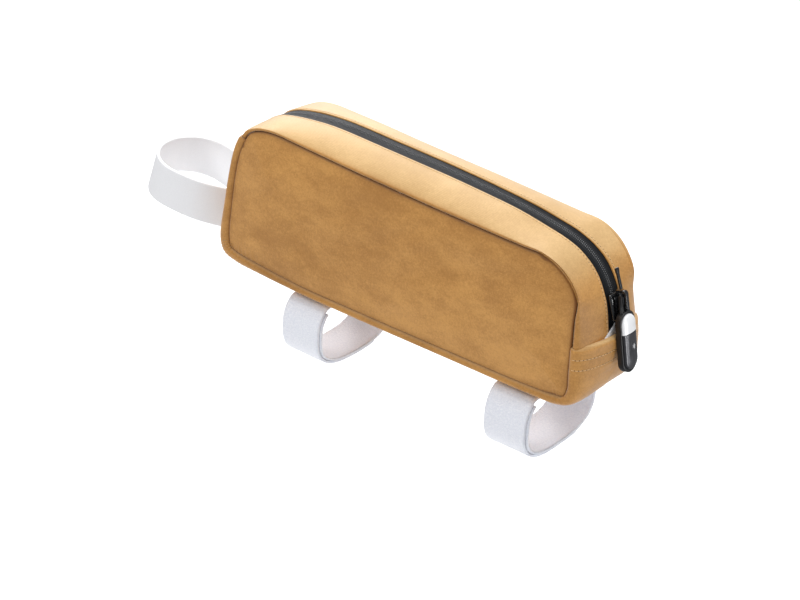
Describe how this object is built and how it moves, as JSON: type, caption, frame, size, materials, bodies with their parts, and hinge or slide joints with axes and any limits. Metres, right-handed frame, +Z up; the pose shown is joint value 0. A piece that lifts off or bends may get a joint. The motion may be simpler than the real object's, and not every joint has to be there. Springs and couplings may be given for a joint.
{
  "type": "top tube bag",
  "caption": "Zipped canvas pouch that straps on a bicycle's top tube, with two tube straps, a steerer strap and a hanging puller.",
  "frame": {"origin": "the middle of the bag's underside, where it sits on the top tube", "axes": "+X towards the bicycle's rear, along the tube; +Y towards the bicycle's right side; +Z up, square to the tube"},
  "size_m": [0.3256, 0.0628, 0.1331],
  "materials": {
    "side_panel_left": "tan waxed canvas",
    "side_panel_right": "tan waxed canvas",
    "base_gusset": "tan waxed canvas, hemmed lip at the rear",
    "top_strip_left": "tan waxed canvas",
    "top_strip_right": "tan waxed canvas",
    "zip_tape_left": "charcoal laminated zip tape",
    "zip_tape_right": "charcoal laminated zip tape",
    "zip_coil": "fine black coil",
    "zip_end_tab": "white cloth tab",
    "zip_slider": "glossy black slider",
    "slider_tail": "black rubber tab",
    "pull_frame": "black moulded rubber",
    "pull_insert_top": "glossy white insert",
    "pull_insert_base": "glossy metallic grey insert",
    "front_strap": "white brushed hook-and-loop",
    "rear_strap": "white brushed hook-and-loop",
    "steerer_strap": "smooth white satin strap"
  },
  "bodies": {
    "bag": {"side_panel_left": "side_panel_left", "side_panel_right": "side_panel_right", "base_gusset": "base_gusset", "top_strip_left": "top_strip_left", "top_strip_right": "top_strip_right", "zip_tape_left": "zip_tape_left", "zip_tape_right": "zip_tape_right", "zip_coil": "zip_coil", "zip_end_tab": "zip_end_tab", "zip_slider": "zip_slider", "slider_tail": "slider_tail", "front_strap": "front_strap", "rear_strap": "rear_strap", "steerer_strap": "steerer_strap"},
    "pull": {"pull_frame": "pull_frame", "pull_insert_top": "pull_insert_top", "pull_insert_base": "pull_insert_base"}
  },
  "joints": [
    {"name": "puller_swing", "type": "hinge", "parent": "bag", "child": "pull", "pos_m": [0.12253, 0, 0.05696], "axis": [0, -1, 0], "range_deg": [0, 115]}
  ]
}
